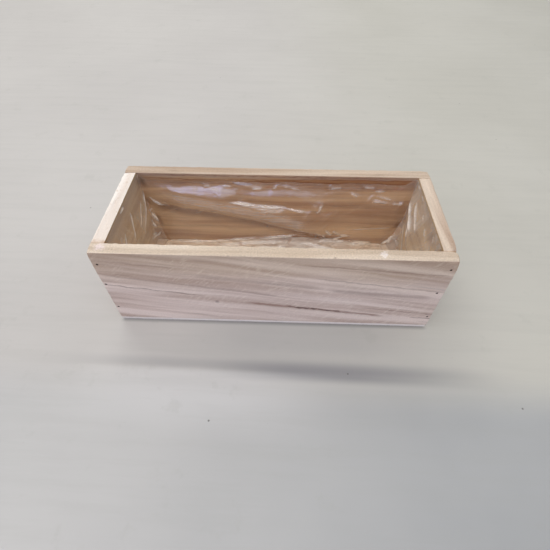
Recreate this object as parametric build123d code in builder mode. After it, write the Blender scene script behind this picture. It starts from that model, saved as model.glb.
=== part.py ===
from build123d import *

import os

# A nailed wooden box with a loose liner of clear film, used as a mould for a loaf of
# soap. Two long boards lap the ends of two short ones, a thin panel closes the bottom,
# and brads hold every joint. Sizes are in millimetres. The origin is the centre of the
# underside, +X runs along the box, +Y towards its back and +Z up.

# Driving dimensions
LENGTH = 250.0  # outside, along X
WIDTH = 100.0  # outside, along Y
HEIGHT = 80.0  # outside, along Z
BOARD = 9.5  # thickness of the four wall boards
PANEL = 3.0  # thickness of the base panel
PANEL_INSET = 0.5  # the base panel stops this far inside the walls' outer faces
EASED_EDGE = 0.4  # radius of the boards' long edges, rubbed down with sandpaper

# Brads: the same wire throughout, longer in the walls than in the base
SHANK_RADIUS = 0.6
HEAD_RADIUS = 0.9
HEAD_THICKNESS = 0.6
POINT_LENGTH = 1.8
SINK = 0.3  # depth of each head below the surface of the wood
WALL_NAIL_LENGTH = 25.0
BASE_NAIL_LENGTH = 15.0
NAIL_CLEARANCE = 0.01  # between the wire and the wood around it

# Film liner: a tray that stands just clear of the wood
FILM = 0.1
LINER_GAP = 0.5
LINER_TOP = 69.5  # height of the film's cut edge above the table
LINER_CORNER_RADIUS = 6.0  # the film cuts across the upright corners
LINER_FOOT_RADIUS = 5.0  # and across the corner between the walls and the floor

# Sizes worked out from the driving dimensions
WALL_HEIGHT = HEIGHT - PANEL
INNER_LENGTH = LENGTH - 2 * BOARD
INNER_WIDTH = WIDTH - 2 * BOARD
LONG_BOARD_Y = WIDTH / 2 - BOARD / 2  # middle of the front and back boards
END_BOARD_X = LENGTH / 2 - BOARD / 2  # middle of the end boards

# Each wall nail goes through a long board into the end grain of an end board. Places
# are (x, z), uneven because the nails were driven by eye.
WALL_NAIL_LEVELS = ("top", "middle", "bottom")
WALL_NAIL_PLACES = {
    "front_left": ((-121.6, 68.0), (-123.0, 45.8), (-123.0, 17.0)),
    "front_right": ((121.1, 71.1), (120.0, 45.3), (122.3, 14.6)),
    "back_left": ((-120.8, 69.4), (-121.9, 43.2), (-120.3, 16.2)),
    "back_right": ((121.7, 70.2), (120.6, 44.4), (121.4, 15.8)),
}
FRONT = -1
BACK = 1
LEFT = -1
RIGHT = 1

# Base nails come up through the panel, four into each long board and two into each end
LONG_BOARD_NAIL_X = (-105.0, -35.0, 35.0, 105.0)
END_BOARD_NAIL_Y = (-15.0, 15.0)


def wall_seats(corner, side, y):
    """The three nail places of one corner, on an upright plane at y facing outwards."""
    return [Plane(origin=(x, y, z), z_dir=(0, side, 0)) for x, z in WALL_NAIL_PLACES[corner]]


def base_seats(points, z):
    """Nail places on a level plane at height z, facing down."""
    return [Plane(origin=(x, y, z), z_dir=(0, 0, -1)) for x, y in points]


def long_board_base_points(side):
    """Where the base nails meet the front or back board, as (x, y)."""
    return [(x, side * LONG_BOARD_Y) for x in LONG_BOARD_NAIL_X]


def end_board_base_points(end):
    """Where the base nails meet the left or right end board, as (x, y)."""
    return [(end * END_BOARD_X, y) for y in END_BOARD_NAIL_Y]


def nail_entry_holes(seats, board_thickness):
    """Drill the outer member of a joint: a seat for each sunk head, and a way through."""
    with Locations(*seats):
        CounterBoreHole(
            radius=SHANK_RADIUS + NAIL_CLEARANCE,
            counter_bore_radius=HEAD_RADIUS + NAIL_CLEARANCE,
            counter_bore_depth=SINK + HEAD_THICKNESS,
            depth=board_thickness,
        )


def nail_point_holes(seats, nail_length, outer_thickness):
    """Drill the inner member of a joint, as deep as a nail reaches into it."""
    with Locations(*seats):
        Hole(
            radius=SHANK_RADIUS + NAIL_CLEARANCE,
            depth=SINK + nail_length - outer_thickness + NAIL_CLEARANCE,
        )


def finish(piece, name):
    """Label a finished piece and write it to its own file."""
    piece.label = name
    export_step(piece, f"parts/{name}.step")


def make_long_board(name, side):
    """The front or back board, as long as the whole box."""
    with BuildPart() as board:
        with BuildSketch(Plane.XY.offset(PANEL)):
            with Locations((0, side * LONG_BOARD_Y)):
                Rectangle(LENGTH, BOARD)
        extrude(amount=WALL_HEIGHT)
        fillet(board.edges().filter_by(Axis.X), EASED_EDGE)
        for end in ("left", "right"):
            nail_entry_holes(wall_seats(f"{name}_{end}", side, side * WIDTH / 2), BOARD)
        nail_point_holes(base_seats(long_board_base_points(side), PANEL), BASE_NAIL_LENGTH, PANEL)
    finish(board.part, f"{name}_board")


def make_end_board(name, end):
    """The left or right end board, held between the two long ones."""
    with BuildPart() as board:
        with BuildSketch(Plane.XY.offset(PANEL)):
            with Locations((end * END_BOARD_X, 0)):
                Rectangle(BOARD, INNER_WIDTH)
        extrude(amount=WALL_HEIGHT)
        fillet(board.edges().filter_by(Axis.Y), EASED_EDGE)
        for long_board, side in (("front", FRONT), ("back", BACK)):
            seats = wall_seats(f"{long_board}_{name}", side, side * INNER_WIDTH / 2)
            nail_point_holes(seats, WALL_NAIL_LENGTH, BOARD)
        nail_point_holes(base_seats(end_board_base_points(end), PANEL), BASE_NAIL_LENGTH, PANEL)
    finish(board.part, f"{name}_end_board")


def make_base_panel():
    """The thin panel under the walls, which the box stands on."""
    with BuildPart() as panel:
        with BuildSketch():
            Rectangle(LENGTH - 2 * PANEL_INSET, WIDTH - 2 * PANEL_INSET)
        extrude(amount=PANEL)
        for side in (FRONT, BACK):
            nail_entry_holes(base_seats(long_board_base_points(side), 0), PANEL)
        for end in (LEFT, RIGHT):
            nail_entry_holes(base_seats(end_board_base_points(end), 0), PANEL)
    finish(panel.part, "base_panel")


def make_film_liner():
    """The film as an open tray, with a rounded corner wherever two sides meet."""
    with BuildPart() as liner:
        with BuildSketch(Plane.XY.offset(PANEL + LINER_GAP)):
            RectangleRounded(
                INNER_LENGTH - 2 * LINER_GAP,
                INNER_WIDTH - 2 * LINER_GAP,
                LINER_CORNER_RADIUS,
            )
        extrude(amount=LINER_TOP - PANEL - LINER_GAP)
        fillet(liner.edges().group_by(Axis.Z)[0], LINER_FOOT_RADIUS)
        offset(amount=-FILM, openings=liner.faces().sort_by(Axis.Z)[-1])
    finish(liner.part, "film_liner")


def make_nail(name, seat, length):
    """A brad with a flat head, driven along its seat's axis until the head is sunk."""
    outward = seat.z_dir
    head_top = seat.origin - outward * SINK
    with BuildPart() as nail:
        with BuildSketch(Plane(origin=head_top, x_dir=seat.x_dir, z_dir=-seat.y_dir)):
            with BuildLine():
                Polyline(
                    (0, 0),
                    (HEAD_RADIUS, 0),
                    (HEAD_RADIUS, -HEAD_THICKNESS),
                    (SHANK_RADIUS, -HEAD_THICKNESS),
                    (SHANK_RADIUS, POINT_LENGTH - length),
                    (0, -length),
                    close=True,
                )
            make_face()
        revolve(axis=Axis(head_top, outward))
    finish(nail.part, name)


def make_wall_nails():
    """Three brads through the long board at each of the four corners."""
    for corner in WALL_NAIL_PLACES:
        side = FRONT if corner.startswith("front") else BACK
        seats = wall_seats(corner, side, side * WIDTH / 2)
        for level, seat in zip(WALL_NAIL_LEVELS, seats):
            make_nail(f"{corner}_nail_{level}", seat, WALL_NAIL_LENGTH)


def make_base_nails():
    """Brads up through the base panel into each of the four walls."""
    rows = {
        "front": long_board_base_points(FRONT),
        "back": long_board_base_points(BACK),
        "left": end_board_base_points(LEFT),
        "right": end_board_base_points(RIGHT),
    }
    for wall, points in rows.items():
        for number, seat in enumerate(base_seats(points, 0), start=1):
            make_nail(f"base_nail_{wall}_{number}", seat, BASE_NAIL_LENGTH)


os.makedirs("parts", exist_ok=True)
make_long_board("front", FRONT)
make_long_board("back", BACK)
make_end_board("left", LEFT)
make_end_board("right", RIGHT)
make_base_panel()
make_film_liner()
make_wall_nails()
make_base_nails()
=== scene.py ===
import math

import bpy
import numpy as np
from mathutils import Matrix, Vector
from mathutils.geometry import delaunay_2d_cdt


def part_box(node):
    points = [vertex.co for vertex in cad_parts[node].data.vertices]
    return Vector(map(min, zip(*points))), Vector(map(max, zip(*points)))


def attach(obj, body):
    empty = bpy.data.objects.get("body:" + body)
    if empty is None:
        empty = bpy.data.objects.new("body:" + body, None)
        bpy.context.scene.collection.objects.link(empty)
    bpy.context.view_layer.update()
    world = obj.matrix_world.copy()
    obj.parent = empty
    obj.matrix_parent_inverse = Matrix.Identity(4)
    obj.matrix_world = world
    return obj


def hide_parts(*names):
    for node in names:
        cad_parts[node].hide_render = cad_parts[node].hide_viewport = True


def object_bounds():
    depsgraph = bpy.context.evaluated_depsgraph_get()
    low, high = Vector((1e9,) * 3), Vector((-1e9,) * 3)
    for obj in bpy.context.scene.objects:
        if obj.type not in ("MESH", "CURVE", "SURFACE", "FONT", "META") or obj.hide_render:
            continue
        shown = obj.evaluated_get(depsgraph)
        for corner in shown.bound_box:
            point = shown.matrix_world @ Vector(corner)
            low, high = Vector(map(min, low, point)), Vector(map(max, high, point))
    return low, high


# A nailed box of pale sawn boards with a loose liner of clear, creased film. Lengths are
# in metres unless a name ends in _MM: the material nodes and the seeded relief work in
# millimetres, because grain and saw marks are that fine.

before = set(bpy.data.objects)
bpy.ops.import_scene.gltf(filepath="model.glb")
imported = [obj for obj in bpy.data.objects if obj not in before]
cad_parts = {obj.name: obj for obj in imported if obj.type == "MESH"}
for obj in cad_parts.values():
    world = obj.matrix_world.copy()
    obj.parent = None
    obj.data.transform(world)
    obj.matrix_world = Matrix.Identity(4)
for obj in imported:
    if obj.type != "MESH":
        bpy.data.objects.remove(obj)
CAD_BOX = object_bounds()
MM = 0.001

BOX_LOW, BOX_HIGH = (Vector(corner) for corner in CAD_BOX)
BOARD_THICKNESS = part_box("front_board")[1].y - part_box("front_board")[0].y
INNER_X = BOX_HIGH.x - BOARD_THICKNESS
INNER_Y = BOX_HIGH.y - BOARD_THICKNESS
FLOOR_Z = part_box("base_panel")[1].z
BOX_MIDDLE_MM = np.array([0, 0, 40])


def srgb(red, green, blue):
    """A colour on a 0 to 255 scale, as the linear colour that shaders take."""
    def linear(value):
        value /= 255
        return value / 12.92 if value <= 0.04045 else ((value + 0.055) / 1.055) ** 2.4
    return (linear(red), linear(green), linear(blue), 1.0)


def ramp(value, start, end):
    """0 at start, 1 at end, straight between them and held outside. start may be higher."""
    return np.clip((value - start) / (end - start), 0, 1)


def unit(vectors):
    return vectors / np.maximum(np.linalg.norm(vectors, axis=1), 1e-9)[:, None]


# ---- seeded smooth noise

class SmoothNoise:
    """Smooth random values over 3-D points, the same on every run: a sum of sine waves."""

    def __init__(self, seed, scale_mm, waves=24):
        random = np.random.default_rng(seed)
        directions = random.normal(size=(waves, 3))
        directions /= np.linalg.norm(directions, axis=1)[:, None]
        lengths = np.array(scale_mm, float) * np.ones(3)
        self.waves = directions * (2 * math.pi / lengths) * random.uniform(0.6, 1.4, (waves, 1))
        self.phases = random.uniform(0, 2 * math.pi, waves)

    def __call__(self, points_mm):
        return np.sin(points_mm @ self.waves.T + self.phases).sum(1) / math.sqrt(len(self.phases))


# ---- mesh helpers

def add_object(name, data):
    made = bpy.data.objects.new(name, data)
    bpy.context.scene.collection.objects.link(made)
    return made


def mesh_object(name, vertices, faces, material_slots=None, sides=None):
    """A smooth-shaded mesh object at the origin, with one material slot per listed material."""
    mesh = bpy.data.meshes.new(name)
    mesh.from_pydata([tuple(v) for v in vertices], [], [tuple(f) for f in faces])
    mesh.polygons.foreach_set("use_smooth", [True] * len(mesh.polygons))
    for material in material_slots or ():
        mesh.materials.append(material)
    if sides is not None:
        mesh.polygons.foreach_set("material_index", sides)
    mesh.update()
    return add_object(name, mesh)


def grid_lines(low, high, cell, edge, details=()):
    """Positions of mesh lines from low to high, close together at both ends and at each
    detail, which is (centre, reach, step)."""
    inner = np.linspace(low + edge, high - edge, max(2, round((high - low - 2 * edge) / cell)))
    ends = edge * np.array([0, 0.3, 0.65])
    lines = [low + ends, inner, high - ends]
    for centre, reach, step in details:
        kept = np.abs(lines[1] - centre) > reach
        lines[1] = lines[1][kept]
        lines.append(np.arange(centre - reach, centre + reach + step / 2, step))
    lines = np.sort(np.concatenate(lines))
    return lines[np.concatenate([[True], np.diff(lines) > 0.05 * MM])]


def block_mesh(xs, ys, zs, open_top=False):
    """The surface of a block, cut into cells by three lists of lines. Returns its
    vertices, its quads and the number of the side that each quad lies on."""
    counts = (len(xs), len(ys), len(zs))
    faces = [(axis, end) for axis in range(3) for end in (0, -1)]
    if open_top:
        faces.remove((2, -1))
    on_surface = np.zeros(counts, bool)
    for axis, end in faces:
        index = [slice(None)] * 3
        index[axis] = end
        on_surface[tuple(index)] = True
    ids = np.full(counts, -1)
    ids[on_surface] = np.arange(on_surface.sum())
    i, j, k = np.nonzero(on_surface)
    vertices = np.stack([xs[i], ys[j], zs[k]], 1)
    quads, sides = [], []
    for axis, end in faces:
        sheet = np.take(ids, end, axis)
        corners = [sheet[:-1, :-1], sheet[1:, :-1], sheet[1:, 1:], sheet[:-1, 1:]]
        outward = (end == -1) != (axis == 1)
        order = corners if outward else corners[::-1]
        block = np.stack([c.ravel() for c in order], 1)
        quads.append(block)
        sides.append(np.full(len(block), 2 * axis + (end == -1)))
    return vertices, np.concatenate(quads), np.concatenate(sides)


def round_edges(vertices, low, high, radius):
    """A block's vertices moved onto edges rounded by a radius that may differ from vertex
    to vertex, and the direction that the block faces at each."""
    radius = np.broadcast_to(radius, len(vertices))[:, None]
    core = np.clip(vertices, low + radius, high - radius)
    outward = unit(vertices - core)
    return core + outward * radius, outward


# ---- material nodes

class Nodes:
    """Short names for the nodes that the procedural materials are built from."""

    def __init__(self, name):
        self.material = bpy.data.materials.new(name)
        self.material.use_nodes = True
        self.tree = self.material.node_tree
        self.tree.nodes.clear()

    def node(self, kind, inputs=(), **settings):
        made = self.tree.nodes.new("ShaderNode" + kind)
        for key, value in settings.items():
            setattr(made, key, value)
        for key, value in dict(inputs).items():
            socket = made.inputs[key]
            if isinstance(value, bpy.types.NodeSocket):
                self.tree.links.new(value, socket)
            else:
                socket.default_value = value
        return made

    def math(self, operation, *values, clamp=False):
        inputs = dict(enumerate(values))
        return self.node("Math", inputs, operation=operation, use_clamp=clamp).outputs[0]

    def plus(self, first, second):
        return self.math("ADD", first, second)

    def minus(self, first, second):
        return self.math("SUBTRACT", first, second)

    def times(self, first, second):
        return self.math("MULTIPLY", first, second)

    def size_of(self, value):
        return self.math("ABSOLUTE", value)

    def place_mm(self):
        """Position in the object's frame, in millimetres, as three sockets."""
        place = self.node("TexCoord").outputs["Object"]
        scaled = self.node("VectorMath", {0: place, "Scale": 1 / MM}, operation="SCALE")
        split = self.node("SeparateXYZ", {0: scaled.outputs[0]})
        return [split.outputs[axis] for axis in range(3)]

    def vector(self, x, y, z=0.0):
        return self.node("CombineXYZ", {0: x, 1: y, 2: z}).outputs[0]

    def scaled(self, u, u_scale, v, v_scale, w=0.0):
        """Two coordinates, each with its own scale, and a third or a seed."""
        return self.vector(self.times(u, u_scale), self.times(v, v_scale), w)

    def noise(self, vector, scale=1.0, detail=3.0, roughness=0.5):
        inputs = {"Vector": vector, "Scale": scale, "Detail": detail, "Roughness": roughness}
        return self.node("TexNoise", inputs).outputs["Fac"]

    def spread(self, value, low, high, to_low=0.0, to_high=1.0):
        """A smooth step: low to high becomes to_low to to_high, and is held outside."""
        inputs = {"Value": value, 1: low, 2: high, 3: to_low, 4: to_high}
        mapped = self.node("MapRange", inputs, interpolation_type="SMOOTHSTEP")
        return mapped.outputs[0]

    def fall(self, value, low, high):
        """A smooth step down, from 1 at low to 0 at high."""
        return self.spread(value, low, high, 1.0, 0.0)

    def between(self, value, outer_low, low, high, outer_high):
        """A smooth step up and down again: 1 from low to high, and 0 outside the rest."""
        return self.times(self.spread(value, outer_low, low), self.fall(value, high, outer_high))

    def distance(self, place, centre):
        return self.node("VectorMath", {0: place, 1: centre}, operation="DISTANCE").outputs["Value"]

    def mix(self, share, first, second, blend_type="MIX"):
        """A mix of two colours. The node's colour sockets are its inputs 6 and 7."""
        inputs = {0: share, 6: first, 7: second}
        return self.node("Mix", inputs, data_type="RGBA", blend_type=blend_type).outputs[2]

    def bump(self, height, strength, distance_mm):
        inputs = {"Height": height, "Strength": strength, "Distance": distance_mm * MM}
        return self.node("Bump", inputs).outputs[0]

    def shader(self, kind, inputs):
        return self.node(kind, inputs).outputs[0]

    def surface(self, inputs):
        """Finishes the material with a single Principled shader."""
        return self.output(self.shader("BsdfPrincipled", inputs))

    def output(self, shader):
        self.node("OutputMaterial", {"Surface": shader})
        return self.material


AXES = {"x": 0, "y": 1, "z": 2}


def wood_material(name, along, across, tones, bands=0.5, lines=0.5, fuzz=0.3, fuzz_turn=40.0,
                  slope=0.0, seed=0.0, marks=None, fuzz_size=1.0, speckle=0.12):
    """Dry sawn wood. along and across are the axes of the grain on this face, tones its
    dark, middle and light colours, and slope how the grain leans. bands, lines and fuzz
    say how strongly the broad bands, the fine grain and the torn fibres show, fuzz_turn is
    the angle of the torn fibres from the grain in degrees, fuzz_size their size, and
    speckle how grainy the colour is."""
    n = Nodes(name)
    place = n.place_mm()
    u = place[AXES[along]]
    v = place[AXES[across]]
    w = place[3 - AXES[along] - AXES[across]]

    def grain(u_scale, v_scale, offset, detail, roughness=0.5, across_value=None):
        """Noise drawn out along the grain; the scales are per millimetre."""
        value = bent if across_value is None else across_value
        depth = n.plus(n.times(w, 0.3), seed + offset)
        vector = n.scaled(u, u_scale, value, v_scale, depth)
        return n.noise(vector, 1.0, detail, roughness)

    # the grain leans, and wanders slowly along the board
    leaning = n.plus(v, n.times(u, slope))
    drift = grain(0.010, 0.025, 0.0, 2, across_value=leaning)
    bent = n.plus(leaning, n.times(drift, 9.0))
    band = grain(0.005, 0.11, 3.0, 3)
    ring = grain(0.009, 0.48, 7.0, 3, 0.6)
    fibre = grain(0.06, 2.6, 11.0, 3, 0.7)
    # thin dark lines where a slow noise crosses its middle, broken here and there
    crossing = n.size_of(n.minus(grain(0.004, 0.17, 17.0, 1), 0.5))
    unbroken = n.spread(grain(0.016, 0.06, 23.0, 2), 0.45, 0.58)
    thin_line = n.times(n.fall(crossing, 0.0, 0.014), unbroken)
    speck = n.noise(n.vector(*place), 0.9, 3, 0.7)
    patch = grain(0.02, 0.04, 29.0, 2)

    dark, middle, light = (srgb(*tone) for tone in tones)
    colour = n.mix(n.spread(band, 0.34, 0.66), dark, light)
    colour = n.mix(1.0 - bands, colour, middle)
    shade = 1.0
    depths = ((ring, 0.22 * lines), (fibre, 0.30 * lines), (speck, speckle), (patch, 0.12))
    for value, depth in depths:
        shade = n.plus(shade, n.times(n.minus(value, 0.5), depth))
    shade = n.minus(shade, n.times(thin_line, 0.16 * lines))
    grey = n.node("CombineColor", {0: shade, 1: shade, 2: shade}).outputs[0]
    colour = n.mix(1.0, colour, grey, "MULTIPLY")

    # torn fibres: short pale strokes across the grain, in patches
    turn = math.radians(fuzz_turn)
    beside = n.minus(n.times(v, math.cos(turn)), n.times(u, math.sin(turn)))
    onward = n.plus(n.times(u, math.cos(turn)), n.times(v, math.sin(turn)))
    stroke_place = n.vector(beside, n.times(onward, 0.2), seed)
    stroke = n.spread(n.noise(stroke_place, 1.3 / fuzz_size, 2, 0.65), 0.48, 0.72)
    where = n.spread(n.noise(n.vector(*place), 0.028, 2), 0.42, 0.60, 0.15, 1.0)
    torn = n.times(stroke, where)
    colour = n.mix(n.times(torn, fuzz), colour, srgb(236, 224, 212))
    if marks:
        colour = marks(n, place, colour)

    height = n.plus(n.times(fibre, 0.6), n.times(ring, 0.4))
    height = n.minus(height, n.times(thin_line, 0.4))
    height = n.plus(height, n.times(torn, fuzz))
    height = n.plus(height, n.times(speck, 0.35))
    inputs = {
        "Base Color": colour,
        "Roughness": n.plus(0.66, n.times(fibre, 0.18)),
        "Normal": n.bump(height, 0.6, 0.35),
        "Specular IOR Level": 0.25,
    }
    return n.surface(inputs)


def end_grain_material():
    """The cut end of a board: growth rings round a heart that lies outside the box."""
    n = Nodes("end_grain")
    x, y, z = n.place_mm()
    radius = n.distance(n.vector(y, z), (-60.0, -35.0, 0.0))
    wobble = n.noise(n.scaled(y, 0.2, z, 0.05), 1.0, 2)
    ring_place = n.plus(n.times(radius, 0.5), n.times(wobble, 2.0))
    ring = n.noise(n.vector(ring_place, 0.0), 1.0, 2)
    speck = n.noise(n.scaled(y, 4.0, z, 4.0, x), 1.0, 2)
    dark, middle, light = (srgb(*tone) for tone in END_TONES)
    colour = n.mix(n.spread(ring, 0.35, 0.65), dark, light)
    colour = n.mix(n.spread(speck, 0.62, 0.75), colour, dark)
    colour = n.mix(0.45, colour, middle)
    inputs = {"Base Color": colour, "Roughness": 0.85, "Normal": n.bump(speck, 0.5, 0.3),
              "Specular IOR Level": 0.2}
    return n.surface(inputs)


# ---- boards

# Each wood's dark, middle and light colours, on a 0 to 255 scale
OUTER_TONES = ((184, 162, 151), (211, 192, 183), (227, 211, 203))
INNER_TONES = ((164, 116, 74), (204, 160, 113), (223, 187, 142))
INNER_END_TONES = ((172, 138, 96), (208, 177, 130), (226, 201, 156))
RIM_TONES = ((184, 164, 142), (211, 193, 173), (227, 213, 195))
BACK_RIM_TONES = ((174, 149, 127), (200, 181, 160), (217, 201, 182))
RIGHT_RIM_TONES = ((174, 148, 128), (201, 180, 160), (216, 199, 180))
PALE_RIM_TONES = ((222, 206, 192), (242, 233, 223), (250, 244, 237))
END_TONES = ((150, 118, 92), (196, 168, 142), (214, 190, 164))
PANEL_TONES = ((212, 200, 192), (232, 224, 220), (242, 236, 233))

# Corners knocked round by use: place, how far the wear reaches and its radius, in
# millimetres
WORN_CORNERS = [
    ((125.0, -50.0, 80.0), 8.0, 2.5),
    ((125.0, -40.5, 80.0), 5.0, 2.0),
    ((-125.0, -50.0, 80.0), 5.0, 1.4),
    ((125.0, 50.0, 80.0), 6.0, 1.6),
    ((-125.0, 40.5, 80.0), 4.0, 1.2),
]


def board(name, materials, seed):
    """One wall board: the CAD board's size, with softened uneven edges and a dimple at
    each of its nail heads."""
    low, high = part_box(name)
    low, high = np.array(low), np.array(high)
    edge = 0.7 * MM
    details = nail_details(name, low, high)
    axes = [grid_lines(low[a], high[a], 1.6 * MM, edge, details[a]) for a in range(3)]
    vertices, quads, sides = block_mesh(*axes)
    wear = SmoothNoise(seed, 9.0)(vertices / MM)
    nibble = SmoothNoise(seed + 1, 2.5)(vertices / MM)
    radius = MM * np.clip(0.5 + 0.24 * wear + 0.30 * nibble, 0.12, 1.3)
    for corner, reach, worn in WORN_CORNERS:
        distance = np.linalg.norm(vertices / MM - corner, axis=1)
        radius = np.maximum(radius, worn * MM * np.clip(1.3 - distance / reach, 0, 1))
    shaped, _ = round_edges(vertices, low, high, radius)
    shaped += nail_dimples(shaped, name, low, high)
    piece = mesh_object(name + "_sawn", shaped, quads, materials, sides)
    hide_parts(name)
    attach(piece, "box")


def nails_in(name, low, high):
    """Centres of the nail heads that show on a board's outer face."""
    side = name.split("_")[0]
    if side not in ("front", "back"):
        return []
    heads = []
    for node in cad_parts:
        if node.startswith(side) and "_nail_" in node:
            nail_low, nail_high = (np.array(c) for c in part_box(node))
            centre = (nail_low + nail_high) / 2
            centre[1] = low[1] if side == "front" else high[1]
            heads.append(centre)
    return heads


# The dimple round a sunk nail head, with a lip pushed up round it
DIMPLE_REACH = 1.7 * MM
DIMPLE_STEP = 0.24 * MM
DIMPLE_DEPTH = 0.36 * MM
LIP_RADIUS = 1.3 * MM
LIP_HEIGHT = 0.05 * MM


def nail_details(name, low, high):
    """Extra mesh lines round each nail head, for each axis."""
    heads = nails_in(name, low, high)
    return [[(head[a], DIMPLE_REACH, DIMPLE_STEP) for head in heads] if a != 1 else []
            for a in range(3)]


def nail_dimples(points, name, low, high):
    """How far each point moves to make room for the sunk nail heads."""
    move = np.zeros_like(points)
    for head in nails_in(name, low, high):
        inward = 1.0 if head[1] < 0 else -1.0
        flat = points - head
        on_face = np.abs(flat[:, 1]) < 0.05 * MM
        reach = np.hypot(flat[:, 0], flat[:, 2])
        pit = ramp(reach, 1.12 * MM, 0.9 * MM)
        lip = np.exp(-((reach - LIP_RADIUS) / (0.22 * MM)) ** 2)
        move[:, 1] += on_face * inward * (DIMPLE_DEPTH * pit - LIP_HEIGHT * lip)
    return move


def along_line(n, x, z, height, lean, x_from, x_to, half_width, seed):
    """How much of a mark that runs along the grain covers each point: a wandering line
    through (0, height), with soft ends."""
    wander = n.noise(n.scaled(x, 0.09, z, 0.3, seed), 1.0, 3, 0.6)
    line = n.plus(height, n.times(x, lean))
    line = n.plus(line, n.times(n.minus(wander, 0.5), 4.0))
    offset = n.size_of(n.minus(z, line))
    soft = 0.12 * (x_to - x_from)
    ends = n.between(x, x_from, x_from + soft, x_to - soft, x_to)
    return n.times(n.fall(offset, 0.15 * half_width, half_width), ends)


# Dark grain lines on the front board: height at the middle, lean, from, to, half width,
# seed of the wander and depth
FRONT_LINES = [
    (26.8, -0.155, -128, -50, 0.9, 4.0, 0.55),
    (38.0, -0.155, -128, 8, 1.6, 5.0, 0.28),
    (58.0, -0.12, -128, -66, 1.2, 6.0, 0.25),
    (74.5, -0.08, 18, 128, 1.1, 7.0, 0.30),
    (62.5, -0.13, 26, 128, 1.2, 8.0, 0.34),
    (48.0, -0.07, 40, 120, 2.8, 9.0, 0.34),
    (52.0, -0.12, -60, 40, 3.2, 10.0, 0.22),
    (33.0, -0.12, 66, 128, 0.9, 11.0, 0.40),
    (18.5, -0.05, 108, 128, 1.0, 12.0, 0.60),
]


def front_marks(n, place, colour):
    """The front board's own marks: browner wood near the top, a knot's long dark streak
    with a black core, a grey fleck, and single dark grain lines."""
    x, _, z = place
    cloud = n.noise(n.scaled(x, 0.02, z, 0.05, 2.0), 1.0, 2)
    high = n.plus(z, n.times(cloud, 30.0))
    brown = n.times(n.spread(high, 52.0, 90.0), 0.65)
    colour = n.mix(brown, colour, srgb(240, 234, 214), "MULTIPLY")
    strip = n.times(n.spread(z, 73.0, 79.0), 0.30)
    colour = n.mix(strip, colour, srgb(150, 126, 108))
    for height, lean, x_from, x_to, half_width, seed, depth in FRONT_LINES:
        share = along_line(n, x, z, height, lean, x_from, x_to, half_width, seed)
        colour = n.mix(n.times(share, depth), colour, srgb(118, 94, 86))
    broken = n.spread(n.noise(n.vector(n.times(x, 0.22), z, 8.0), 1.0, 2), 0.34, 0.58)
    stain = along_line(n, x, z, 25.4, -0.125, -24.0, 92.0, 2.3, 5.0)
    colour = n.mix(n.times(stain, 0.62), colour, srgb(128, 92, 78))
    core = n.times(along_line(n, x, z, 25.4, -0.125, 10.0, 58.0, 0.9, 5.0), broken)
    colour = n.mix(n.times(core, 0.9), colour, srgb(58, 38, 34))
    fleck = n.fall(n.distance(n.vector(x, z), (-42.5, 28.0, 0.0)), 0.6, 2.4)
    return n.mix(n.times(fleck, 0.5), colour, srgb(112, 98, 98))


# Reddish lines near the top of the back board's inside: height, from, to, half width, seed
GRAIN_LINES = [
    (78.3, -118, 118, 0.6, 20.0),
    (74.8, -118, 30, 0.8, 21.0),
    (73.0, -40, 118, 1.0, 22.0),
    (76.2, 10, 118, 0.7, 23.0),
    (70.6, -100, 60, 0.9, 24.0),
    (68.2, 20, 118, 1.2, 25.0),
]

# Knots there: place, half length and half width
BACK_KNOTS = [
    (-30.0, 69.0, 5.0, 1.6),
    (80.0, 69.0, 7.0, 1.5),
    (102.0, 69.5, 8.0, 1.8),
    (-6.0, 67.5, 5.0, 0.9),
]


def back_inner_marks_and_shade(n, place, colour):
    """A darker band of painted shade along the top of the back board's inside, greyer at its
    left end and close to the rim, with thin reddish lines and a few orange knots."""
    x, _, z = place
    ragged = n.noise(n.scaled(x, 0.05, z, 0.4, 1.0), 1.0, 3)
    level = n.plus(z, n.times(n.minus(ragged, 0.5), 7.0))
    # Painted shade: a darker band along the top, under the rim
    band = n.times(n.spread(level, 68.0, 73.0), 0.4)
    tone = n.mix(n.spread(x, -60.0, 0.0), srgb(100, 88, 86), srgb(128, 88, 66))
    colour = n.mix(band, colour, tone)
    strip = n.times(n.spread(level, 75.5, 77.5), 0.5)
    colour = n.mix(strip, colour, srgb(168, 152, 140))
    for height, x_from, x_to, half_width, seed in GRAIN_LINES:
        share = along_line(n, x, z, height, 0.0, x_from, x_to, half_width, seed)
        colour = n.mix(n.times(share, 0.5), colour, srgb(112, 64, 44))
    for knot_x, knot_z, length, half_width in BACK_KNOTS:
        wide = n.math("DIVIDE", n.minus(x, knot_x), length)
        tall = n.math("DIVIDE", n.minus(level, knot_z), half_width)
        reach = n.plus(n.times(wide, wide), n.times(tall, tall))
        share = n.times(n.fall(reach, 0.1, 1.2), 0.6)
        colour = n.mix(share, colour, srgb(164, 98, 58))
    return colour


def end_inner_shade(n, place, colour):
    """Painted shade: the inside of an end board is greyer and darker towards its rim."""
    share = n.times(n.spread(place[2], 66.0, 77.0), 0.6)
    return n.mix(share, colour, srgb(148, 128, 108))


def left_rim_marks(n, place, colour):
    """A brown stain at the front end of the left rim, and brown flecks along it."""
    x, y, _ = place
    ragged = n.noise(n.vector(x, y, 5.0), 0.45, 3, 0.65)
    edge = n.plus(y, n.times(ragged, 9.0))
    stain = n.times(n.fall(edge, -36.5, -31.5), 0.6)
    colour = n.mix(stain, colour, srgb(190, 156, 122))
    flecks = n.times(n.spread(ragged, 0.56, 0.70), 0.45)
    return n.mix(flecks, colour, srgb(196, 168, 138))


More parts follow.
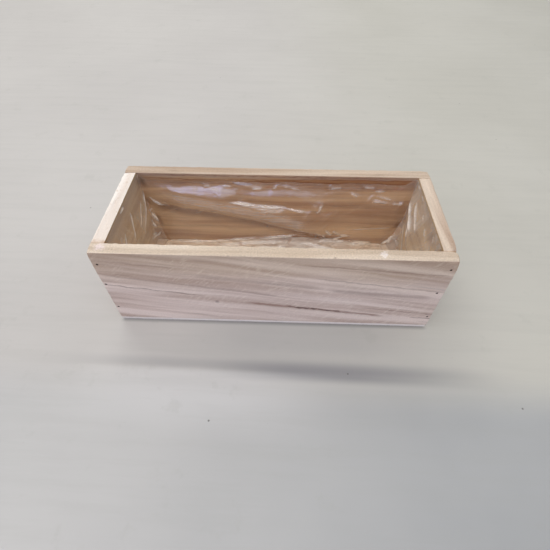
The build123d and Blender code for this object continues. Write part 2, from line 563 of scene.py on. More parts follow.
# Spots on the front rim: centre, reach, depth and colour
RIM_SPOTS = [
    ((75.5, -45.0, 0.0), 3.4, 0.6, (244, 236, 234)),
    ((-117.5, -43.5, 0.0), 4.5, 0.6, (240, 224, 226)),
    ((-108.5, -44.5, 0.0), 1.2, 0.55, (168, 112, 84)),
    ((42.0, -49.4, 0.0), 1.6, 0.5, (120, 92, 78)),
]


def front_rim_marks(n, place, colour):
    """The front rim's pale scraped patch near the right, a pink one at the left corner, a
    rusty scratch beside it and a dark nick at the front edge."""
    x, y, _ = place
    ragged = n.noise(n.vector(n.times(x, 0.6), y, 3.0), 0.8, 4, 0.75)
    ragged = n.times(n.minus(ragged, 0.4), 16.0)
    for centre, reach, depth, tone in RIM_SPOTS:
        distance = n.plus(n.distance(n.vector(x, y), centre), ragged)
        share = n.times(n.fall(distance, 0.5 * reach, reach + 1.5), depth)
        colour = n.mix(share, colour, srgb(*tone))
    return colour


def panel_marks(n, place, colour):
    """The base panel's upper face is browner than its edges."""
    share = n.times(n.spread(place[2], 2.2, 2.9), 0.8)
    return n.mix(share, colour, srgb(255, 224, 184), "MULTIPLY")


SAWN_X = wood_material(
    "sawn_face_long", "x", "z", OUTER_TONES,
    bands=0.85, lines=1.1, fuzz=0.40, fuzz_turn=42.0, slope=0.13, seed=2.0, marks=front_marks,
    fuzz_size=2.2, speckle=0.40)
SAWN_X_BACK = wood_material(
    "sawn_face_back", "x", "z", OUTER_TONES,
    bands=0.8, lines=0.8, fuzz=0.22, fuzz_turn=-35.0, slope=-0.05, seed=41.0)
SAWN_Y = wood_material(
    "sawn_face_end", "y", "z", OUTER_TONES,
    bands=0.8, lines=0.8, fuzz=0.22, fuzz_turn=50.0, slope=0.06, seed=17.0)
INNER_X_WOOD = wood_material(
    "inner_face_long", "x", "z", INNER_TONES,
    bands=0.85, lines=1.8, fuzz=0.06, fuzz_turn=10.0, seed=53.0, marks=back_inner_marks_and_shade)
INNER_X_FRONT = wood_material(
    "inner_face_front", "x", "z", INNER_TONES,
    bands=0.7, lines=1.4, fuzz=0.06, fuzz_turn=10.0, seed=57.0)
INNER_Y_WOOD = wood_material(
    "inner_face_end", "y", "z", INNER_END_TONES,
    bands=0.6, lines=1.3, fuzz=0.08, fuzz_turn=20.0, seed=61.0, marks=end_inner_shade)
RIM_X_FRONT = wood_material(
    "rim_front", "x", "y", RIM_TONES,
    bands=0.6, lines=1.0, fuzz=0.30, fuzz_turn=86.0, seed=71.0, marks=front_rim_marks,
    fuzz_size=0.5, speckle=0.9)
RIM_X = wood_material(
    "rim_long", "x", "y", BACK_RIM_TONES,
    bands=0.8, lines=1.2, fuzz=0.28, fuzz_turn=80.0, seed=75.0, fuzz_size=0.4, speckle=0.7)
RIM_Y = wood_material(
    "rim_end", "y", "x", RIGHT_RIM_TONES,
    bands=0.9, lines=1.2, fuzz=0.30, fuzz_turn=70.0, slope=0.05, seed=83.0, fuzz_size=0.4,
    speckle=0.7)
RIM_Y_PALE = wood_material(
    "rim_end_pale", "y", "x", PALE_RIM_TONES,
    bands=0.7, lines=0.9, fuzz=0.20, fuzz_turn=75.0, seed=87.0, marks=left_rim_marks, fuzz_size=0.4,
    speckle=0.3)
END_GRAIN = end_grain_material()
PANEL_WOOD = wood_material(
    "panel_wood", "x", "y", PANEL_TONES,
    bands=0.6, lines=0.8, fuzz=0.1, fuzz_turn=10.0, seed=97.0, marks=panel_marks)

# A board's materials are those of its -x, +x, -y, +y, -z and +z sides
board("front_board", [END_GRAIN, END_GRAIN, SAWN_X, INNER_X_FRONT, RIM_X, RIM_X_FRONT], 11)
board("back_board", [END_GRAIN, END_GRAIN, INNER_X_WOOD, SAWN_X_BACK, RIM_X, RIM_X], 12)
board("left_end_board", [SAWN_Y, INNER_Y_WOOD, END_GRAIN, END_GRAIN, RIM_Y, RIM_Y_PALE], 13)
board("right_end_board", [INNER_Y_WOOD, SAWN_Y, END_GRAIN, END_GRAIN, RIM_Y, RIM_Y], 14)


def paint(node, material):
    """Gives a CAD node that keeps its shape a new material."""
    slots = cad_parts[node].data.materials
    slots.clear()
    slots.append(material)


paint("base_panel", PANEL_WOOD)


def nail_material():
    """Dull steel wire, browned by rust here and there."""
    n = Nodes("brad_steel")
    x, y, z = n.place_mm()
    spots = n.noise(n.vector(x, y, z), 1.6, 3)
    colour = n.mix(n.spread(spots, 0.45, 0.62), srgb(58, 52, 50), srgb(84, 58, 44))
    rough = n.spread(spots, 0.4, 0.65, 0.45, 0.8)
    inputs = {"Base Color": colour, "Roughness": rough, "Metallic": 0.8,
              "Normal": n.bump(spots, 0.3, 0.1)}
    return n.surface(inputs)


BRAD = nail_material()
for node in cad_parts:
    if "nail" in node:
        paint(node, BRAD)


def film_material():
    """Clear film that mirrors about 13% of the room head on and nearly all of it at a
    glance, with a blurred sheen over that, and whitens what lies behind it a little."""
    n = Nodes("clear_film")
    x, y, z = n.place_mm()
    place = n.vector(x, y, z)
    ripple = n.noise(place, 0.11, 3, 0.5)
    fine = n.noise(place, 0.6, 2, 0.5)
    height = n.plus(ripple, n.times(fine, 0.15))
    normal = n.bump(height, 0.35, 1.6)
    facing = n.node("LayerWeight", {"Blend": 0.5, "Normal": normal}).outputs["Facing"]
    share = n.plus(0.13, n.times(n.math("POWER", facing, 5.0), 0.8))
    # Painted highlights along the creases and a painted sheen whiten the film, in streaks
    # along the long walls and in columns at the ends. Under its folds and in the corners,
    # painted shade darkens what shows through it.
    painted_sheen = n.node("Attribute", attribute_name="painted_sheen").outputs["Fac"]
    painted_shade = n.node("Attribute", attribute_name="painted_shade").outputs["Fac"]
    streaks = n.vector(n.times(x, 0.04), n.times(y, 0.25), n.times(z, 0.8))
    uneven = n.spread(n.noise(streaks, 1.0, 3, 0.6), 0.36, 0.64, 0.45, 1.0)
    columns = n.scaled(y, 0.11, z, 0.05, 40.0)
    blotched = n.spread(n.noise(columns, 1.0, 2, 0.5), 0.36, 0.64, 0.6, 1.05)
    at_ends = n.spread(n.size_of(x), 98.0, 104.0)
    uneven = n.plus(n.times(uneven, n.minus(1.0, at_ends)), n.times(blotched, at_ends))
    haze_and_sheen = n.times(n.times(painted_sheen, uneven), 0.85)
    haze_and_sheen = n.plus(0.04, n.times(haze_and_sheen, painted_sheen))
    # Painted shade: the film lets less through where it carries painted shade
    shade_tint = n.mix(painted_shade, (0.975, 0.965, 0.95, 1.0), (0.54, 0.44, 0.35, 1.0))
    clear = n.shader("BsdfTransparent", {"Color": shade_tint})
    gloss = {"Color": (1, 1, 1, 1), "Normal": normal}
    sharp = n.shader("BsdfAnisotropic", {**gloss, "Roughness": 0.21})
    blurred = n.shader("BsdfAnisotropic", {**gloss, "Roughness": 0.45})
    # The haze and the painted sheen are warmer near the floor, a painted reflection of the lit wood
    haze_and_sheen_tone = n.mix(n.spread(z, 5.0, 14.0), (1.0, 0.87, 0.70, 1.0), (0.95, 0.90, 0.84, 1.0))
    haze = n.shader("BsdfDiffuse", {"Color": haze_and_sheen_tone, "Normal": normal})
    sheet = n.shader("MixShader", {0: share, 1: clear, 2: sharp})
    sheet = n.shader("MixShader", {0: 0.09, 1: sheet, 2: blurred})
    return n.output(n.shader("MixShader", {0: haze_and_sheen, 1: sheet, 2: haze}))


FILM = film_material()

# ---- film liner

FILM_GAP = 0.35 * MM  # least distance between the film and the wood
FILM_CELL = 1.05 * MM
FILM_CORNER_MM = 2.6
FILM_TOP_MM = 74.0  # top of the film's folds, before its edge is cut to height
FILM_EDGE_MM = 73.6  # mean height of its cut edge along the two long walls
FILM_END_RISE_MM = 6.0  # how much higher the edge stands at the two ends
FILM_HIGHEST_MM = 79.4  # just under the rim

# The film's folds. On a wall each point is the place along the wall, the
# height, and how far the film stands off the wood; on the floor it is x, y and the height
# above the wood. A crease is a small sharp ridge: its two ends, its height and its width.
# All are in millimetres.
BACK_KNEE = [(-114, 69, 0.6), (-97, 67.5, 2.4), (-70, 64.5, 5.2), (-46, 61.5, 7.2), (-32, 59, 5.2),
             (5, 54.5, 5.6), (46, 48.5, 5.4), (58, 44, 4.5), (80, 40, 2.5)]
BACK_RIDGE = [(-113, 62, 0.8), (-82, 54.5, 4.5), (-48, 49, 8), (-14, 43, 11), (21, 32.5, 12),
              (44, 26, 9), (62, 26, 5), (108, 29, 2)]
BACK_FOLDS = [
    [(-110, 71, 0.7), (-46, 69.5, 1.2), (-10, 68, 1.8), (22, 68, 1.6), (50, 69, 1.2), (108, 70, 0.8)],
    [(-30, 63.5, 4.0), (-10, 62.5, 4.8), (20, 62.5, 4.4), (42, 62.5, 3.2)],
    BACK_KNEE,
    BACK_RIDGE,
    [(-112, 48, 0.8), (-84, 46, 0.6), (-50, 37, 0.6), (-15, 29, 0.8), (22, 19, 1.5),
     (46, 16, 3), (70, 19, 1.5), (104, 19, 1)],
    [(82, 57.5, 2.8), (107, 53.5, 2.6)],
    [(84, 63, 0.8), (110, 61, 0.8)],
    [(82, 50, 0.8), (108, 46, 0.8)],
    [(41, 58, 4.5), (37, 50, 7.5), (43, 50, 6)],
    [(-113, 5, 0.8), (-70, 5, 0.6), (-15, 8, 0.8), (20, 12, 1.5), (60, 8, 1), (113, 5, 0.8)],
]
# The folds that hang down: fold, reach, drop, and how much painted shade the film has
# under it
BACK_SAGS = [(BACK_RIDGE, 3.0, 3.0, 1.0), (BACK_KNEE, 2.5, 1.5, 0.2)]
BACK_CREASES = [
    [(-62, 70), (-54, 70.5), 1.0, 1.4],
    [(-46, 69), (-36, 69.5), 1.0, 1.4],
    [(-21, 68.5), (-10, 69), 1.0, 1.5],
    [(-3, 69), (2, 71), 1.0, 1.4],
    [(2, 71), (21, 67.5), 0.9, 1.3],
    [(43, 70), (57, 70.5), 0.8, 1.4],
    [(72, 71), (84, 70), 1.0, 1.4],
    [(-44, 57), (-17, 54.5), 1.2, 1.5],
    [(-17, 54.5), (8, 52), 1.4, 1.8],
    [(8, 52), (26, 47), 1.2, 1.6],
    [(-36, 55), (8, 49.5), 1.0, 1.4],
    [(-20, 51), (10, 48), 1.2, 1.6],
    [(35, 46), (40, 57), 1.0, 2.2],
    [(62, 65), (70, 61.5), 1.3, 1.6],
    [(80, 57.5), (98, 56.5), 1.3, 1.6],
    [(98, 56.5), (112, 54), 1.3, 1.6],
    [(82, 63), (100, 59), 1.2, 1.4],
    [(81, 67), (92, 68), 1.2, 1.4],
    [(62, 26), (110, 28), 1.0, 1.5],
    [(-75, 4), (-14, 9), 1.0, 1.6],
    [(-14, 9), (24, 16), 1.6, 2.0],
]
FRONT_FOLDS = [
    [(-112, 24, 1), (-60, 30, 6), (-10, 40, 9), (40, 52, 7), (90, 60, 2)],
    [(-90, 12, 0.8), (-40, 16, 1), (20, 26, 1.5), (70, 40, 1)],
    [(-100, 45, 0.8), (-50, 56, 1.5), (10, 62, 1)],
    [(30, 14, 3.5), (95, 34, 2.5)],
    [(-113, 5, 0.8), (-20, 5, 1), (60, 5, 0.8), (113, 5, 0.8)],
]
FRONT_CREASES = [
    [(-80, 60), (-20, 48), 1.2, 1.8],
    [(20, 60), (96, 40), 1.2, 1.8],
    [(40, 22), (90, 50), 1.0, 1.8],
]
RIGHT_FOLDS = [
    [(38, 52, 1.5), (20, 47, 6), (-2, 41, 7.5), (-28, 33, 3)],
    [(36, 68, 0.8), (8, 66, 1.2), (-20, 60, 1)],
    [(36, 36, 1.5), (12, 28, 1.2), (-14, 20, 1)],
]
RIGHT_CREASES = [
    [(34, 40), (14, 12), 1.4, 3.0],
    [(18, 60), (0, 30), 0.8, 4.0],
    [(36, 71), (28, 72), 1.0, 1.8],
    [(22, 72), (14, 71), 1.0, 1.8],
    [(6, 68), (0, 64), 1.0, 1.8],
    [(-6, 65), (-13, 60), 1.0, 1.8],
    [(-20, 70), (-26, 66), 0.8, 1.6],
]
LEFT_FOLDS = [
    [(38, 60, 1), (31, 45, 4.5), (21, 30, 5), (8, 10, 2)],
    [(22, 62, 0.8), (10, 42, 1.2), (-2, 14, 1)],
    [(-20, 62, 1.5), (-26, 34, 3), (-34, 12, 1)],
]
LEFT_CREASES = [
    [(6, 66), (-6, 40), 0.8, 3.0],
    [(-14, 62), (-26, 44), 0.8, 2.0],
]
FLOOR_FOLDS = [
    [(-90, 8, 0.4), (-30, 2, 2.2), (30, -6, 1.2), (90, -12, 0.5)],
    [(10, 20, 0.6), (62, 2, 3), (100, -24, 0.6)],
    [(-70, -24, 0.6), (-10, -28, 2), (50, -26, 0.8)],
]
FLOOR_CREASES = [
    [(-70, 34), (10, 36), 1.2, 3.0],
    [(-60, 26), (10, 30), 1.2, 2.2],
    [(20, 34), (70, 24), 1.4, 2.4],
    [(62, 8), (78, 34), 1.2, 2.0],
    [(-90, -10), (-20, 18), 1.0, 2.0],
]

# Flat stretches of film across a corner of the box, one or two planes each: where the film
# lies beyond them all, it comes in to the nearest. A plane is three points, in millimetres.
BRIDGES = [
    [[(-115.5, 40.5, 63), (-101, 40.5, 4), (-115.5, -2, 4)]],
    [[(-76, 40.5, 3.4), (21, 40.5, 16.5), (-5, 9, 3.6)],
     [(21, 40.5, 16.5), (98, 40.5, 6), (60, 8, 3.6)]],
    [[(114.5, 40.5, 40), (97, 40.5, 5), (115.5, 4, 5)]],
    [[(-115.5, -40.5, 48), (-97, -40.5, 4), (-115.5, -14, 4)]],
    [[(115.5, -40.5, 56), (98, -40.5, 4), (115.5, -18, 4)]],
    [[(-64, -40.5, 14), (44, -40.5, 4), (-8, -14, 3.6)]],
]

# Crumpling where the film is gathered into the corners and along the foot of the back
# wall. It crosses from one side of the film to another, so each crease has its two ends as
# x, y and z in the box, then its height and width, all in millimetres.
GATHERS = [
    [(-111, 39, 56), (-96, 39, 47), 1.6, 1.5],
    [(-107, 39, 54), (-99, 39, 48), 1.4, 1.3],
    [(-114, 31, 42), (-107, 39, 42), 1.6, 1.5],
    [(-114, 28, 39), (-109, 32, 25), 1.8, 1.6],
    [(-112, 34, 41), (-108, 37, 27), 1.6, 1.4],
    [(-111, 37, 38), (-108, 37, 29), 1.4, 1.3],
    [(-114, 17, 23), (-107, 34, 19), 1.4, 1.4],
    [(-115, 17, 27), (-110, 29, 22), 1.4, 1.4],
    [(-114, 39, 60), (-113, 15, 37), 1.4, 1.3],
    [(-114, 27, 59), (-114, 11, 41), 0.7, 0.9],
    [(-115, -9, 73), (-115, 1, 72), 0.9, 1.6],
    [(44, 32, 30), (53, 33, 20), 2.0, 1.9],
    [(53, 33, 20), (71, 38, 15), 2.0, 2.1],
    [(66, 38, 17), (51, 36, 11), 1.8, 1.9],
    [(51, 36, 11), (40, 34, 12), 1.8, 1.9],
    [(37, 31, 25), (47, 36, 12), 1.6, 1.7],
    [(47, 36, 12), (61, 38, 11), 1.6, 1.7],
    [(51, 33, 28), (59, 36, 20), 1.4, 1.6],
    [(69, 35, 9), (92, 39, 8), 1.2, 2.4],
    [(-100, 39, 5), (-70, 38, 4), 1.0, 1.4],
    [(-70, 38, 4), (-42, 38, 7), 1.2, 1.6],
    [(-42, 38, 7), (-19, 38, 10), 1.2, 1.5],
    [(-19, 38, 10), (21, 39, 16), 1.4, 1.5],
    [(99, 38, 7), (109, 33, 21), 2.0, 2.0],
    [(105, 32, 12), (109, 33, 21), 1.6, 1.8],
    [(113, 33, 60), (109, 4, 48), 1.4, 3.2],
    [(114, 25, 66), (111, -2, 53), 1.0, 2.4],
    [(115, 39, 77), (115, 33, 77), 0.8, 1.6],
    [(115, 24, 78), (115, 18, 78), 0.8, 1.6],
    [(115, 8, 76), (115, 3, 76), 0.8, 1.8],
]

# Painted shade on the film, mostly in the corners: two ends and a width
SHADES = [
    [(-113, 39, 73), (-111, 39, 64), 4.0],
    [(-114, 39, 54), (-112, 38, 44), 4.5],
    [(-108, 39, 36), (-106, 39, 22), 3.0],
    [(113, 37, 33), (107, 39, 26), 3.6],
    [(115, -23, 67), (115, -15, 63), 5.0],
]
GATHER_REACH_MM = 9.0  # how far off its line a gathered crease still marks the film

FACET_AREA_MM2 = 170  # area of film for each point of its small uneven facets
CREASE_AREA_MM2 = 260  # and for each of its faint creases

# How white the painted sheen makes the film, from 0 to 1
BACK_SHEEN = 0.55
LEFT_SHEEN = 0.42
RIGHT_SHEEN = 0.48
FLOOR_SHEEN = 0.72


def facets(u, v, folds, u_limit, v_limits):
    """Height of a sheet that lies in straight facets between its folds, and close to the
    wood at the four corners and along the top edge."""
    low, high = v_limits
    points = [(-u_limit, low, 0.8), (u_limit, low, 0.8)]
    points += [(u_limit * share, high, 0.5) for share in (-1, -0.5, 0, 0.5, 1)]
    edges = []
    for fold in folds:
        edges += [(len(points) + step, len(points) + step + 1) for step in range(len(fold) - 1)]
        points += fold
    flat = [Vector(point[:2]) for point in points]
    placed, _, triangles, came_from, _, _ = delaunay_2d_cdt(flat, edges, [], 0, 0.01)
    rise = [points[sources[0]][2] if sources else None for sources in came_from]
    height = np.zeros_like(u)
    best = np.full_like(u, -1e9)
    for corners in triangles:
        if any(rise[corner] is None for corner in corners):
            continue
        (ax, ay), (bx, by), (cx, cy) = (placed[corner] for corner in corners)
        twice_area = (bx - ax) * (cy - ay) - (cx - ax) * (by - ay)
        if abs(twice_area) < 1e-6:
            continue
        b = ((u - ax) * (cy - ay) - (cx - ax) * (v - ay)) / twice_area
        c = ((bx - ax) * (v - ay) - (u - ax) * (by - ay)) / twice_area
        inside = np.minimum(np.minimum(1 - b - c, b), c)
        value = rise[corners[0]] + b * (rise[corners[1]] - rise[corners[0]])
        value += c * (rise[corners[2]] - rise[corners[0]])
        height = np.where(inside > best, value, height)
        best = np.maximum(best, inside)
    return height


def crease_share(points, start, end, width, normals=None):
    """How much of a crease each point has, from 0 to 1: a tent along a straight line,
    lower at its ends. Given the sheet's normals, the distance from the line is measured
    along the sheet, because the line may pass a little in front of it or behind it."""
    start, end = np.array(start, float), np.array(end, float)
    run = end - start
    along = np.clip((points - start) @ run / (run @ run), 0, 1)
    away = points - start - along[:, None] * run
    near = 1.0
    if normals is not None:
        off = (away * normals).sum(1)
        away -= off[:, None] * normals
        near = ramp(np.abs(off), GATHER_REACH_MM, GATHER_REACH_MM - 3)
    taper = np.clip(3 * np.minimum(along, 1 - along) + 0.2, 0, 1)
    return near * taper * np.clip(1 - np.linalg.norm(away, axis=1) / width, 0, 1)


def sheet_normals(points, quads):
    """The direction that a sheet of quads faces at each of its points."""
    corners = points[quads]
    across = np.cross(corners[:, 2] - corners[:, 0], corners[:, 3] - corners[:, 1])
    normals = np.zeros_like(points)
    for corner in range(4):
        np.add.at(normals, quads[:, corner], across)
    return unit(normals)


def fine_relief(u, v, creases, seed, u_limit, v_limits):
    """One side's own creases over the small uneven facets and faint creases that any used
    film has. Returns the height in millimetres and how much painted highlight its creases
    put on the film."""
    random = np.random.default_rng(seed)
    low, high = v_limits
    area = 2 * u_limit * (high - low)
    scattered = []
    for _ in range(round(area / FACET_AREA_MM2)):
        place = (random.uniform(-u_limit, u_limit), random.uniform(low, high))
        scattered.append([(*place, random.uniform(0, 1))])
    height = facets(u, v, scattered, u_limit, v_limits)
    sheen_share = np.zeros_like(u)
    points = np.stack([u, v], 1)
    for _ in range(round(area / CREASE_AREA_MM2)):
        middle = np.array([random.uniform(-u_limit, u_limit), random.uniform(low, high)])
        turn = random.normal(0.0, 0.9)
        reach = random.uniform(3, 18) * np.array([math.cos(turn), math.sin(turn)])
        share = crease_share(points, middle - reach, middle + reach, random.uniform(1.3, 3))
        height += share * random.choice((-0.5, 0.6, 1.0)) * random.uniform(0.4, 1.1)
        # Each faint crease carries a little painted highlight.
        sheen_share = np.maximum(sheen_share, share * random.uniform(0.1, 0.45))
    for start, end, rise, width in creases:
        share = crease_share(points, start, end, width)
        height += rise * share
        # Each listed crease carries a full painted highlight along its crest.
        sheen_share = np.maximum(sheen_share, share)
    return np.stack([height, sheen_share], 1)


def film_edge_height(x, y):
    """Height of the film's cut edge round the box, in millimetres: higher at the two
    ends, and never quite straight."""
    at_ends = ramp(np.abs(x), 106, 114) * FILM_END_RISE_MM
    wave = 0.5 * np.sin(x / 9.0) + 0.3 * np.sin(x / 4.1 + y / 7.0) + 0.4 * np.sin(y / 5.0)
    return FILM_EDGE_MM + at_ends + wave


# Each side of the film: its two axes, which end of the box it is at, its folds, its
# creases, the seed of its crumpling, and how far it reaches along each axis
FILM_HEIGHTS = (FLOOR_Z / MM, FILM_TOP_MM)
FILM_SIDES = [
    (0, 2, 1, BACK_FOLDS, BACK_CREASES, 4, 115, FILM_HEIGHTS),
    (0, 2, -1, FRONT_FOLDS, FRONT_CREASES, 5, 115, FILM_HEIGHTS),
    (1, 2, 1, RIGHT_FOLDS, RIGHT_CREASES, 6, 40, FILM_HEIGHTS),
    (1, 2, -1, LEFT_FOLDS, LEFT_CREASES, 7, 40, FILM_HEIGHTS),
    (0, 1, -1, FLOOR_FOLDS, FLOOR_CREASES, 8, 115, (-40, 40)),
]


def fold_height(fold, x):
    """The height of a long wall's fold at each x."""
    return np.interp(x, *np.array(fold)[:, :2].T)


def sag(shaped, flat, at_back):
    """Lets the back wall's two long folds hang down, and returns how much painted shade the
    film has under them."""
    x, _, z = flat.T
    dark = np.zeros(len(flat))
    for fold, reach, drop, depth in BACK_SAGS:
        below = z - fold_height(fold, x)
        first, last = fold[0][0], fold[-2][0]
        share = at_back * ramp(x, first, first + 12) * ramp(x, last, last - 20)
        shaped[:, 2] -= drop * share * np.exp(-(below / reach) ** 2)
        # painted shade on the film a little below each fold
        dark += depth * share * ramp(below, -8.0, -10.5) * ramp(below, -20.0, -14.0)
    return dark


def bridge(shaped):
    """Moves the film onto the flat stretches where it cuts across a corner."""
    for planes in BRIDGES:
        normals, depths = [], []
        for a, b, c in np.array(planes, float):
            normal = np.cross(b - a, c - a)
            normals.append(normal * np.sign(normal @ (BOX_MIDDLE_MM - a)) / np.linalg.norm(normal))
            depths.append((a - shaped) @ normals[-1])
        nearest = np.argmin(depths, axis=0)
        shaped += np.maximum(0, np.min(depths, axis=0))[:, None] * np.array(normals)[nearest]


def sheen_veil(flat, outward, at_back):
    """A painted sheen over the two ends, the floor and the back wall's long roll."""
    x, _, z = flat.T
    knee, ridge = fold_height(BACK_KNEE, x), fold_height(BACK_RIDGE, x)
    roll = ramp(z - ridge, 0, 2) * ramp(np.minimum(knee, ridge + 11) - z, 0, 5)
    on_roll = BACK_SHEEN * at_back * roll * ramp(x, 40, 20) * ramp(x, -105, -85)
    bands = 0.9 + 0.1 * np.clip(SmoothNoise(31, (60, 24, 90))(flat), -1, 1)
    at_ends = np.where(x > 0, RIGHT_SHEEN, LEFT_SHEEN) * bands * outward[:, 0] ** 2
    return on_roll + at_ends + FLOOR_SHEEN * outward[:, 2] ** 2


def film_shape():
    """The film as it lies in the box: its vertices, its faces, and how much painted highlight
    and painted shade it carries at each vertex. Works in millimetres."""
    low = np.array([-INNER_X + FILM_GAP, -INNER_Y + FILM_GAP, FLOOR_Z + FILM_GAP]) / MM
    high = np.array([(INNER_X - FILM_GAP) / MM, (INNER_Y - FILM_GAP) / MM, FILM_TOP_MM])
    cell = FILM_CELL / MM
    axes = [np.linspace(low[a], high[a], round((high[a] - low[a]) / cell) + 1) for a in range(3)]
    flat, quads, _ = block_mesh(*axes, open_top=True)
    quads = quads[:, ::-1]  # an open tray is seen from inside
    past_top = high + (0, 0, 2 * FILM_CORNER_MM)
    shaped, outward = round_edges(flat, low, past_top, FILM_CORNER_MM)

    # each vertex takes from the sides that it faces, so that they blend at the corners
    stand = np.zeros(len(flat))
    relief = np.zeros((len(flat), 2))
    for u_axis, v_axis, end, folds, creases, seed, u_limit, v_limits in FILM_SIDES:
        facing = outward[:, 3 - u_axis - v_axis]
        share = np.where(facing * end > 0, facing ** 2, 0)
        u, v = flat[:, u_axis], flat[:, v_axis]
        stand += share * facets(u, v, folds, u_limit, v_limits)
        relief += share[:, None] * fine_relief(u, v, creases, seed, u_limit, v_limits)
    # at the two ends the film lies flat against the wood near its cut edge
    loose = 1 - 0.9 * outward[:, 0] ** 2 * ramp(flat[:, 2], 62, 72)
    shaped -= outward * (stand * loose)[:, None]
    at_back = np.where(outward[:, 1] > 0, outward[:, 1] ** 2, 0)
    dark = sag(shaped, flat, at_back)
    bridge(shaped)

    height, sheen_share = relief.T
    height *= loose
    # A painted sheen over the ends, the floor and the back wall's roll
    sheen_share = np.maximum(sheen_share, sheen_veil(flat, outward, at_back))
    normals = sheet_normals(shaped, quads)
    # Each of these creases also carries a painted highlight along its crest.
    for start, end, rise, width in GATHERS:
        share = crease_share(shaped, start, end, width, normals)
        height += rise * share
        sheen_share = np.maximum(sheen_share, np.minimum(1.0, 1.5 * share))
    # Painted shade on the film in the corners
    for start, end, width in SHADES:
        dark = np.maximum(dark, 0.9 * crease_share(shaped, start, end, width, normals))
    shaped -= outward * height[:, None]
    top = film_edge_height(*flat[:, :2].T)
    shaped[:, 2] = low[2] + (shaped[:, 2] - low[2]) * (top - low[2]) / (FILM_TOP_MM - low[2])
    shaped = np.clip(shaped, low, (high[0], high[1], FILM_HIGHEST_MM))
    return shaped * MM, quads, sheen_share, np.clip(dark, 0, 1)


def add_film():
    """The crumpled film, as one open sheet laid in the box."""
    vertices, quads, sheen_share, dark = film_shape()
    film = mesh_object("creased_film", vertices, quads, [FILM])
    # Keeps the painted sheen and the painted shade on the film's points, for its material
    for name, values in (("painted_sheen", sheen_share), ("painted_shade", dark)):
        film.data.attributes.new(name, "FLOAT", "POINT").data.foreach_set("value", values)
    smooth = film.modifiers.new("smooth", "SMOOTH")
    smooth.factor = 0.5
    smooth.iterations = 1
    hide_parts("film_liner")
    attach(film, "liner")


add_film()

# ---- floor, light, camera

def floor_material():
    """A painted bench top: warm grey, with painted shade that makes it cooler and darker
    towards the front and the right, a soft band of painted shade in front of the box that
    thins to a line on the left, a painted pool of light before it on the left, painted
    shadow at the box's foot and along its front edge, wipe marks and a few specks of dirt."""
    n = Nodes("pale_floor")
    x, y, z = n.place_mm()
    cloud = n.noise(n.vector(x, y, z), 0.004, 4, 0.55)
    # Painted shade: the bench is cooler and darker towards the front and the right
    back = n.mix(n.spread(x, -120.0, 220.0), srgb(190, 187, 183), srgb(187, 185, 176))
    front = n.mix(n.spread(x, -160.0, 160.0), srgb(187, 186, 184), srgb(157, 159, 160))
    lean = n.plus(y, n.times(x, 0.015))
    colour = n.mix(n.fall(lean, -126.0, -84.0), back, front)
    colour = n.mix(n.times(n.spread(cloud, 0.35, 0.65), 0.12), colour, srgb(224, 222, 216))
    # Painted shade: a soft dark band in front of the box that thins to a line on the left
    shaded = srgb(112, 112, 120)
    hollow_shade = n.between(lean, -103.0, -95.0, -94.0, -78.0)
    hollow_shade = n.times(hollow_shade, n.between(x, -70.0, 25.0, 50.0, 190.0))
    colour = n.mix(n.times(hollow_shade, 0.62), colour, shaded)
    line = n.between(lean, -95.0, -90.0, -89.0, -82.0)
    line = n.times(line, n.fall(n.size_of(x), 70.0, 200.0))
    colour = n.mix(n.times(line, 0.24), colour, shaded)
    # A painted pool of light just in front of that band, on the left
    lit = n.between(lean, -150.0, -110.0, -97.0, -92.0)
    lit = n.times(lit, n.times(n.spread(x, -170.0, -60.0), n.fall(x, -40.0, 70.0)))
    colour = n.mix(n.times(lit, 0.4), colour, srgb(226, 225, 224))
    # Painted shadow in front of the box's foot, and a painted contact shadow line right along it
    foot_shadow = n.between(y, -92.0, -70.0, -55.0, -30.0)
    foot_shadow = n.times(foot_shadow, n.fall(n.size_of(n.minus(x, 25.0)), 30.0, 120.0))
    colour = n.mix(n.times(foot_shadow, 0.28), colour, srgb(140, 142, 146))
    contact_shadow = n.between(y, -53.5, -50.3, -30.0, 0.0)
    contact_shadow = n.times(contact_shadow, n.fall(n.size_of(x), 122.0, 127.0))
    colour = n.mix(n.times(contact_shadow, 0.5), colour, srgb(96, 94, 96))
    wipe_place = n.scaled(x, 0.008, lean, 0.09, 9.0)
    wiped = n.noise(wipe_place, 1.0, 4, 0.7)
    colour = n.mix(n.spread(wiped, 0.42, 0.66, 0.0, 0.10), colour, srgb(160, 160, 154))
    smear = n.noise(n.vector(x, y, 60.0), 0.045, 4, 0.7)
    colour = n.mix(n.spread(smear, 0.58, 0.72, 0.0, 0.14), colour, srgb(160, 160, 152))
    dots = n.node("TexVoronoi", {"Vector": n.vector(x, y), "Scale": 0.05})
    few = n.node("SeparateColor", {0: dots.outputs["Color"]}).outputs[0]
    dot = n.fall(dots.outputs["Distance"], 0.024, 0.048)
    dirt = n.times(dot, n.spread(few, 0.84, 0.93))
    colour = n.mix(n.times(dirt, 0.75), colour, srgb(84, 81, 78))
    inputs = {"Base Color": colour, "Roughness": 0.6, "Specular IOR Level": 0.25}
    return n.surface(inputs)


def add_floor():
    """The bench top, just under the box."""
    half = 3.0
    corners = [(-half, -half, 0), (half, -half, 0), (half, half, 0), (-half, half, 0)]
    floor = mesh_object("floor", corners, [(0, 1, 2, 3)], [floor_material()])
    floor.location.z = BOX_LOW.z - 0.2 * MM


def add_area_light(name, place, target, size, watts, colour):
    data = bpy.data.lights.new(name, "AREA")
    data.shape = "RECTANGLE"
    data.size, data.size_y = size
    data.energy = watts
    data.color = colour
    light = add_object(name, data)
    light.location = place
    aim = Vector(target) - Vector(place)
    light.rotation_euler = aim.to_track_quat("-Z", "Y").to_euler()


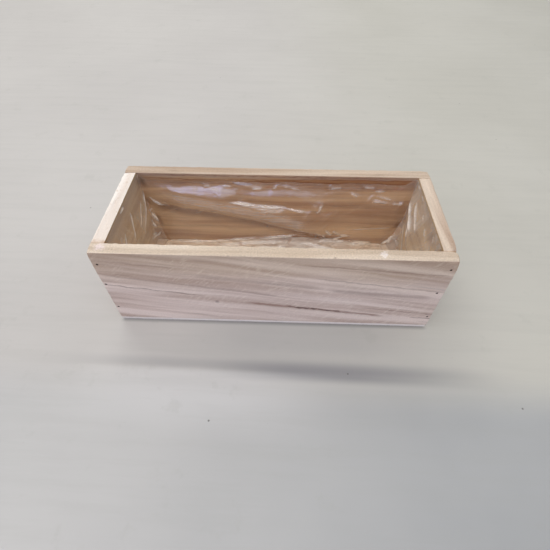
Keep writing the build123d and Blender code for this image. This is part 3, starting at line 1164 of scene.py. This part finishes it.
# Soft light from behind, above and in front, windows at both sides and a bluish one in
# front that the film mirrors, and four long thin lamps overhead: name, place, aim, size,
# watts and colour
WARM = (1.0, 0.97, 0.93)
PALE = (1.0, 0.98, 0.95)
LAMPS = [
    ("daylight", (-0.62, 1.02, 1.55), (0, 0, 0), (1.3, 0.8), 7.5, WARM),
    ("sky_panel", (-0.3, 1.6, 1.1), (0, 0, 0), (2.6, 1.4), 10, PALE),
    ("ceiling", (0, -0.75, 2.3), (0, 0, 0), (2.5, 1.0), 8.5, WARM),
    ("left_window", (-1.9, -0.3, 0.75), (0, 0, 0.05), (1.2, 0.9), 5, PALE),
    ("right_window", (1.7, 1.0, 0.9), (0, 0, 0.05), (0.9, 0.8), 3, (1.0, 1.0, 1.0)),
    ("front_window", (-0.74, -1.8, 1.0), (0, 0, 0.05), (0.7, 1.3), 5.5, (0.5, 0.57, 1.0)),
    ("front_wall", (0.3, -1.8, 1.0), (0, 0, 0.05), (1.4, 1.2), 3.2, (0.78, 0.76, 1.0)),
    ("front_sky", (0.15, -1.5, 2.2), (0, 0, 0.05), (4.5, 2.0), 11, (1.0, 0.97, 0.94)),
    ("tube_left", (-1.1, 0, 1.9), (0, 0, 0.05), (0.06, 3.2), 2.5, PALE),
    ("tube_right", (1.2, 0, 1.9), (0, 0, 0.05), (0.06, 3.2), 2, PALE),
    ("tube_front", (0, -1.25, 1.6), (0, 0, 0.05), (3.0, 0.06), 5, (1.0, 0.95, 0.9)),
    ("tube_middle", (0, -0.35, 2.0), (0, 0, 0.05), (2.4, 0.06), 2.5, PALE),
]


def add_light():
    world = bpy.data.worlds.new("room")
    world.use_nodes = True
    background = world.node_tree.nodes["Background"]
    background.inputs["Color"].default_value = (0.93, 0.96, 1.0, 1.0)
    background.inputs["Strength"].default_value = 0.39
    bpy.context.scene.world = world
    for name, place, target, size, watts, colour in LAMPS:
        add_area_light(name, place, target, size, watts, colour)


# The camera looks down over the front board, a little to the right of the middle
CAMERA_PLACE = (8.45 * MM, -218.43 * MM, 265.47 * MM)
CAMERA_PITCH = math.radians(-50.395)
CAMERA_TURN = math.radians(2.111)
CAMERA_ROLL = math.radians(-0.196)
CAMERA_LENS = 24.72


def add_camera():
    data = bpy.data.cameras.new("camera")
    data.lens = CAMERA_LENS
    data.sensor_width = 36.0
    data.clip_start = 0.01
    camera = add_object("camera", data)
    turn = Matrix.Rotation(CAMERA_TURN, 4, "Z")
    tilt = Matrix.Rotation(math.pi / 2 + CAMERA_PITCH, 4, "X")
    roll = Matrix.Rotation(CAMERA_ROLL, 4, "Z")
    camera.matrix_world = Matrix.Translation(CAMERA_PLACE) @ turn @ tilt @ roll
    bpy.context.scene.camera = camera


add_floor()
add_light()
add_camera()
bpy.context.scene.view_settings.view_transform = "Standard"
